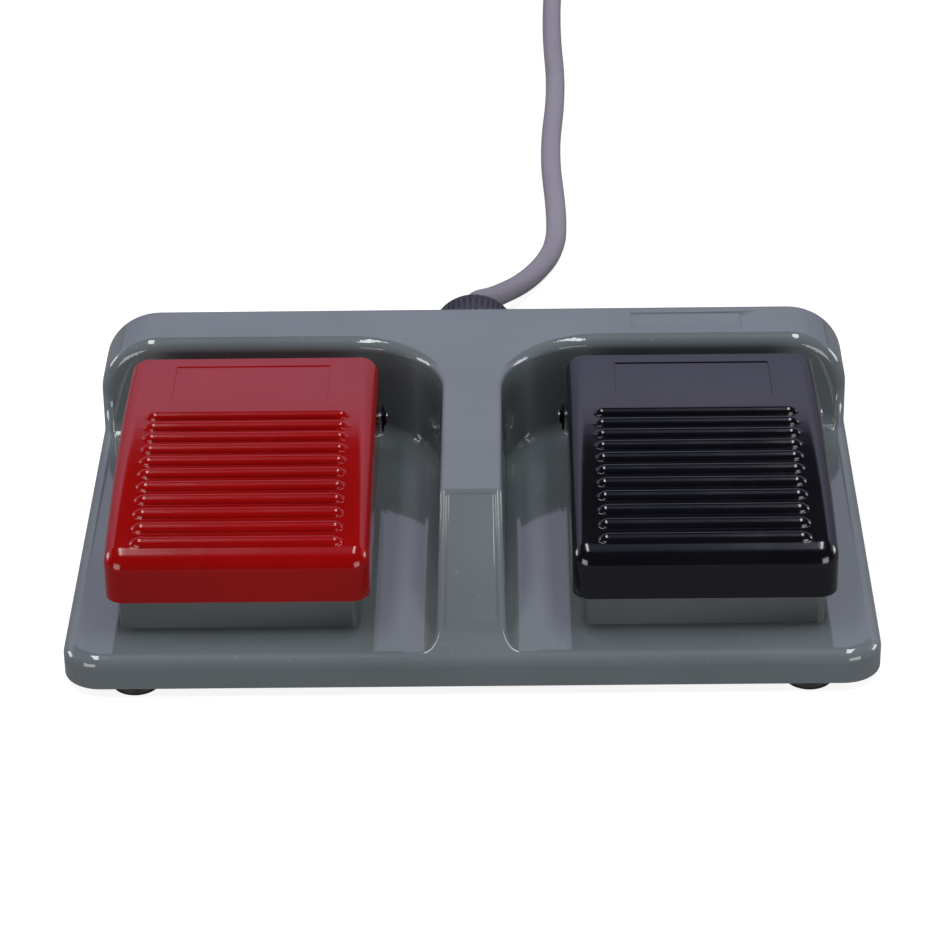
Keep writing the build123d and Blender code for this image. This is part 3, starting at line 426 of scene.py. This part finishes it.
def rib_lift(x, inset):
    """Height of the ribs: h = sqrt(r^2 - t^2) - sink, where r falls to zero along an ellipse at the ends.

    A soft foot, (h + sqrt(h^2 + f^2)) / 2, joins them to the top.
    """
    from_end = rib_half_length - np.abs(x)
    across = np.abs(inset[..., None] - rib_insets).min(axis=-1)
    near = np.clip((rib_point - from_end) / rib_point, 0, 1)
    radius = rib_radius * np.sqrt(1 - near ** 2)
    outside = np.maximum(across - radius, 0) + np.maximum(-from_end, 0)
    sink = rib_radius - rib_rise
    height = np.sqrt(np.maximum(radius ** 2 - across ** 2, 0)) - sink - rib_fall * outside
    return (height + np.sqrt(height ** 2 + rib_foot ** 2)) / 2


def past_middle(place, half_size):
    """How far a place lies in the corner's width, from zero at its inner line to the outline."""
    return np.maximum(np.abs(place) - half_size + pedal_corner, 0)


def cover_mesh():
    """Hollow cover as one closed surface: ribbed top, upright skirt, flat edge, inner wall and ceiling.

    The corners are rounded in plan by moving each place in by c a (1 - sqrt(1 - b^2 / 2)), where a and b run
    from 0 to 1 through the corner both ways. The edge drops from the crown as r - sqrt(r^2 - e^2).
    """
    x, y = np.meshgrid(*cover_lines())
    a = past_middle(x, pedal_half_width) / pedal_corner
    b = past_middle(y, pedal_half_length) / pedal_corner
    x = x - np.sign(x) * a * pedal_corner * (1 - np.sqrt(1 - b ** 2 / 2))
    y = y - np.sign(y) * b * pedal_corner * (1 - np.sqrt(1 - a ** 2 / 2))
    out_x = past_middle(x, pedal_half_width)
    out_y = past_middle(y, pedal_half_length)
    edge = np.clip(np.hypot(out_x, out_y) - (pedal_corner - pedal_edge_round), 0, pedal_edge_round)
    drop = pedal_edge_round - np.sqrt(pedal_edge_round ** 2 - edge ** 2)
    inset = y + pedal_half_length
    in_label = (np.abs(x) < recess_half_width) & (inset > recess_insets[0]) & (inset < recess_insets[1])
    top = crown_height(inset) + rib_lift(x, inset) - recess_sink * in_label - drop
    inner_x = x - np.sign(x) * out_x * pedal_skin / pedal_corner
    inner_y = y - np.sign(y) * out_y * pedal_skin / pedal_corner
    ceiling = crown_height(inner_y + pedal_half_length) - pedal_skin
    quads, ring = grid_faces(*x.shape)
    outer = np.stack([x, y, top], axis=-1).reshape(-1, 3)
    inner = np.stack([inner_x, inner_y, ceiling], axis=-1).reshape(-1, 3)
    rim = outer[ring]
    skirt = [np.column_stack([rim[:, :2], rim[:, 2] * (1 - part) + skirt_z * part]) for part in skirt_parts]
    foot = np.column_stack([inner[ring][:, :2], np.full(len(ring), skirt_z)])
    walls = [*skirt, foot]
    wall_start = len(outer)
    inner_start = wall_start + len(walls) * len(ring)
    wall_rings = [wall_start + level * len(ring) + np.arange(len(ring)) for level in range(len(walls))]
    rings = [ring, *wall_rings, inner_start + ring]
    strips = [strip_faces(lower, upper) for upper, lower in zip(rings[:-1], rings[1:])]
    vertices = np.concatenate([outer, *walls, inner])
    return vertices, np.concatenate([quads, *strips, quads[:, ::-1] + inner_start])


def bored_cover():
    """The cover with its pin hole bored through, as a bmesh."""
    reach = pedal_half_width + pedal_corner
    rod = turned([(pin_hole_radius, -reach), (pin_hole_radius, reach)])
    cover = add_object("cover", make_mesh("cover", *cover_mesh()))
    drill = add_object("drill", make_mesh("drill", *rod))
    drill.matrix_world = (Matrix.Translation((0, (pin_inset - pedal_half_length) * MM, pin_z * MM))
                          @ Matrix.Rotation(pi / 2, 4, "Y"))
    bore = cover.modifiers.new("pin_hole", "BOOLEAN")
    bore.operation = "DIFFERENCE"
    bore.object = drill
    bpy.context.view_layer.update()
    finished = cover.evaluated_get(bpy.context.evaluated_depsgraph_get())
    bored = bmesh.new()
    bored.from_mesh(bpy.data.meshes.new_from_object(finished))
    for tool in (cover, drill):
        bpy.data.objects.remove(tool)
    return bored


def add_posts(cover):
    """The post over the microswitch and the return spring's seat with its stud, let into the ceiling."""
    switch_post_top = crown_height(switch_post_inset) - post_top_depth
    switch_post = [(switch_post_radius, switch_post_foot_z), (switch_post_radius, switch_post_top)]
    crown = crown_height(spring_inset)
    seat_z = crown - pedal_skin - spring_seat_thickness
    spring_seat = [(spring_stud_radius, seat_z - spring_stud_height), (spring_stud_radius, seat_z),
                   (spring_seat_radius, seat_z), (spring_seat_radius, crown - post_top_depth)]
    for inset, profile in ((switch_post_inset, switch_post), (spring_inset, spring_seat)):
        post = make_mesh("post", *turned(profile))
        post.transform(Matrix.Translation((0, (inset - pedal_half_length) * MM, 0)))
        cover.from_mesh(post)


def make_pedal_cover(side, material):
    """Pedal cover with its bore and posts, in the CAD pedal's place and on its body."""
    low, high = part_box(f"{side}_pedal")
    middle = Vector(((low[0] + high[0]) / 2, (low[1] + high[1]) / 2, 0))
    mesh = bored_cover()
    add_posts(mesh)
    bmesh.ops.translate(mesh, verts=mesh.verts, vec=middle)
    bmesh.ops.recalc_face_normals(mesh, faces=mesh.faces)
    data = bpy.data.meshes.new(f"{side}_pedal_cover")
    mesh.to_mesh(data)
    mesh.free()
    finished_piece(f"{side}_pedal_cover", data, material, f"{side}_pedal_body", f"{side}_pedal", radians(40))


def make_gland_nut():
    """Clamping nut round Y: radius = profile - depth * (1 - cos(flutes * angle)) / 2 along its grip."""
    profile = np.concatenate([nut_grip, arc_points(*nut_dome), nut_bore])
    count = flute_count * points_per_flute
    angle = np.linspace(0, 2 * pi, count, endpoint=False)
    radius, along = profile.T
    on_grip = (radius >= nut_radius) & (along > flute_start_y) & (along < flute_end_y)
    groove = flute_depth * (1 - np.cos(flute_count * angle)) / 2
    around = radius[:, None] - on_grip[:, None] * groove
    vertices = np.stack([around * np.sin(angle), np.broadcast_to(along[:, None], around.shape),
                         gland_z / MM + around * np.cos(angle)], axis=-1).reshape(-1, 3)
    rings = np.arange(len(vertices)).reshape(len(profile), count)
    faces = np.concatenate([strip_faces(*pair) for pair in zip(rings, np.roll(rings, -1, axis=0))])
    data = make_mesh("gland_nut_skin", vertices, faces)
    finished_piece("gland_nut_skin", data, "nut", ROOT, "gland_nut", radians(50))


def make_spring(side):
    """Return spring as a smoothed skin with a mesh of its own."""
    spring = smoothed(f"{side}_return_spring", "spring")
    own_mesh(spring)


def route_points():
    """Cable from the gland to the coil, the points that the part's source gives its tube."""
    coil_x = coil_centre[0] + coil_outer_radius
    start = [Vector((0, gland_mouth_y, gland_z)), Vector((0, gland_mouth_y + gland_straight, gland_z))]
    fall = [Vector(point) * MM for point in cable_fall]
    way = [Vector((x * MM, y * MM, cable_diameter / 2)) for x, y in cable_way]
    approach = [Vector((coil_x, coil_approach_y, coil_low_z)),
                Vector((coil_x, coil_centre[1] - cable_diameter, coil_low_z))]
    return start + fall + way + approach


def coil_point(turn):
    """Centre of the coil's tube after so many turns: in on the lower layer, out on the upper one."""
    last = coil_turns_per_layer
    inward = min(turn, 2 * last - turn)
    nearness = max(coil_climb - abs(turn - last), 0)
    radius = coil_outer_radius - coil_spacing * (inward - 2 * nearness ** 2)
    climb = min(max((turn - last + coil_climb) / (2 * coil_climb), 0), 1)
    lift = coil_spacing * climb * climb * (3 - 2 * climb)
    angle = 2 * pi * turn
    return Vector((coil_centre[0] + radius * cos(angle), coil_centre[1] + radius * sin(angle),
                   coil_low_z + lift))


def coil_points():
    """The coil's control points, set out from its centre so that the smooth line runs at its real radius."""
    count = round(2 * coil_turns_per_layer * coil_points_per_turn)
    overshoot = 1 / cos(pi / coil_points_per_turn)
    points = [coil_point(i / coil_points_per_turn) for i in range(count + 1)]
    for point in points[1:-1]:
        point.x = coil_centre[0] + (point.x - coil_centre[0]) * overshoot
        point.y = coil_centre[1] + (point.y - coil_centre[1]) * overshoot
    return points


def make_cable():
    """Free cable and its coil as one open smooth tube."""
    coil = coil_points()
    points = route_points() + coil + [coil[-1] + Vector((0, cable_diameter, 0))]
    curve = bpy.data.curves.new("cable_sheath", "CURVE")
    curve.dimensions = "3D"
    spline = curve.splines.new("NURBS")
    spline.points.add(len(points) - 1)
    for target, point in zip(spline.points, points):
        target.co = (*point, 1)
    spline.order_u = 3
    spline.use_endpoint_u = True
    spline.resolution_u = 10
    curve.bevel_depth = cable_diameter / 2
    curve.bevel_resolution = 8
    curve.use_fill_caps = True
    curve.materials.append(MATERIALS["cable"])
    cable = add_object("cable_sheath", curve)
    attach(cable, ROOT)
    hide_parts("cable", "cable_coil")


def make_camera():
    """Camera at the photograph's viewpoint."""
    data = bpy.data.cameras.new("photo_camera")
    data.sensor_width = sensor_width
    data.lens = focal_length
    data.clip_start = 0.05
    data.clip_end = 50
    camera = add_object("photo_camera", data)
    turn = Matrix.Rotation(camera_turn, 4, "Z")
    tilt = Matrix.Rotation(pi / 2 - camera_pitch, 4, "X")
    roll = Matrix.Rotation(camera_roll, 4, "Z")
    camera.matrix_world = Matrix.Translation(camera_place) @ turn @ tilt @ roll
    bpy.context.scene.camera = camera


def area_light(name, place, aim, width, height, power):
    """Soft box that faces a point, its power in watts."""
    data = bpy.data.lights.new(name, "AREA")
    data.shape = "RECTANGLE"
    data.size = width
    data.size_y = height
    data.energy = power
    light = add_object(name, data)
    light.location = place
    light.rotation_euler = (Vector(aim) - place).to_track_quat("-Z", "Y").to_euler()


def make_lights():
    """A long strip overhead on each side of the middle, and low boxes at the sides and front sides."""
    width = strip_outer_x - strip_inner_x
    length = strip_back_y - strip_front_y
    middle = Vector(((strip_outer_x + strip_inner_x) / 2, (strip_back_y + strip_front_y) / 2, strip_height))
    centre = (0, 0, 0)
    for name, side in zip(SIDES, (-1, 1)):
        to_side = Vector((side, 1, 1))
        place = middle * to_side
        area_light(f"{name}_strip", place, (place.x, place.y, 0), width, length, strip_power)
        area_light(f"{name}_side_box", side_box_place * to_side, centre, *side_box_size, side_box_power)
        area_light(f"{name}_front_box", front_box_place * to_side, centre, *front_box_size, front_box_power)


def camera_sees(tree, surface, others_see):
    """One shader for the camera's own rays and another for all other rays."""
    path = add_node(tree, "ShaderNodeLightPath")
    mix = add_node(tree, "ShaderNodeMixShader", {0: path.outputs["Is Camera Ray"], 1: others_see.outputs[0],
                                                 2: surface.outputs[0]})
    return mix.outputs[0]


def make_world():
    """A dim room with a pale backdrop low behind the object. The camera sees white."""
    world = bpy.data.worlds.new("studio")
    bpy.context.scene.world = world
    tree = empty_tree(world)
    direction = add_node(tree, "ShaderNodeTexCoord").outputs["Generated"]
    split = add_node(tree, "ShaderNodeSeparateXYZ", {"Vector": direction})
    ramps = []
    for tones in (tones_ahead, tones_behind):
        ramp = add_node(tree, "ShaderNodeValToRGB", {"Fac": split.outputs["Z"]})
        stops = ramp.color_ramp.elements
        for place in list(tones)[1:-1]:
            stops.new(place)
        for stop, colour in zip(stops, tones.values()):
            stop.color = (*colour, 1)
        ramps.append(ramp.outputs["Color"])
    behind = add_node(tree, "ShaderNodeMapRange", {"Value": split.outputs["Y"], "From Min": -backdrop_blend,
                                                   "From Max": backdrop_blend})
    tone = add_node(tree, "ShaderNodeMix", {"Factor": behind.outputs[0], MIX_FIRST: ramps[0],
                                            MIX_SECOND: ramps[1]}, data_type="RGBA")
    room = add_node(tree, "ShaderNodeBackground", {"Color": tone.outputs[MIX_RESULT],
                                                   "Strength": room_strength})
    plain = add_node(tree, "ShaderNodeBackground", {"Color": white})
    add_node(tree, "ShaderNodeOutputWorld", {"Surface": camera_sees(tree, plain, room)})


def make_table():
    """Table under the object, with the object's shadow."""
    mesh = bpy.data.meshes.new("studio_floor")
    half = table_half
    mesh.from_pydata([(-half, -half, 0), (half, -half, 0), (half, half, 0), (-half, half, 0)], [],
                     [(0, 1, 2, 3)])
    material = bpy.data.materials.new("studio_paper")
    tree = empty_tree(material)
    grain = pattern(tree, 400 * MM, 2)
    grey = add_node(tree, "ShaderNodeMix", {"Factor": grain, MIX_FIRST: table_dark, MIX_SECOND: table_light},
                    data_type="RGBA")
    paper = add_node(tree, "ShaderNodeBsdfPrincipled", {"Base Color": grey.outputs[MIX_RESULT],
                                                        "Roughness": 0.9})
    shaded = add_node(tree, "ShaderNodeBsdfDiffuse", {"Color": table_shade})
    glow = add_node(tree, "ShaderNodeEmission", {"Color": white, "Strength": table_glow})
    pale = add_node(tree, "ShaderNodeAddShader", {0: shaded.outputs[0], 1: glow.outputs[0]})
    add_node(tree, "ShaderNodeOutputMaterial", {"Surface": camera_sees(tree, pale, paper)})
    mesh.materials.append(material)
    add_object("studio_floor", mesh)


bpy.context.scene.view_settings.view_transform = "Standard"
make_camera()
smoothed("housing", "housing")
smoothed("gland_body", "nylon")
make_gland_nut()
make_cable()
for side in SIDES:
    make_pedal_cover(side, "red" if side == "left" else "black")
    smoothed(f"{side}_switch_base", "base")
    smoothed(f"{side}_pivot_pin", "steel")
    smoothed(f"{side}_pivot_clips", "oxide")
    make_spring(side)
    dress(f"{side}_microswitch_case", "phenolic")
    dress(f"{side}_microswitch_plunger", "acetal")
    dress(f"{side}_microswitch_terminals", "brass")
    dress(f"{side}_microswitch_screws", "zinc")
    dress(f"{side}_base_screws", "zinc")
    dress(f"{side}_switch_leads", "lead")
for place in ("front_left", "front_right", "rear_left", "rear_right"):
    smoothed(f"foot_{place}", "rubber")
dress("bottom_plate", "plate")
dress("plate_screws", "zinc")
dress("gland_locknut", "nylon")
dress("gland_seal", "rubber")
dress("cable_inner_end", "cable")
dress("cable_tie", "nylon")
dress("cable_cores", "lead")
dress("core_tips", "tin")
make_table()
make_world()
make_lights()
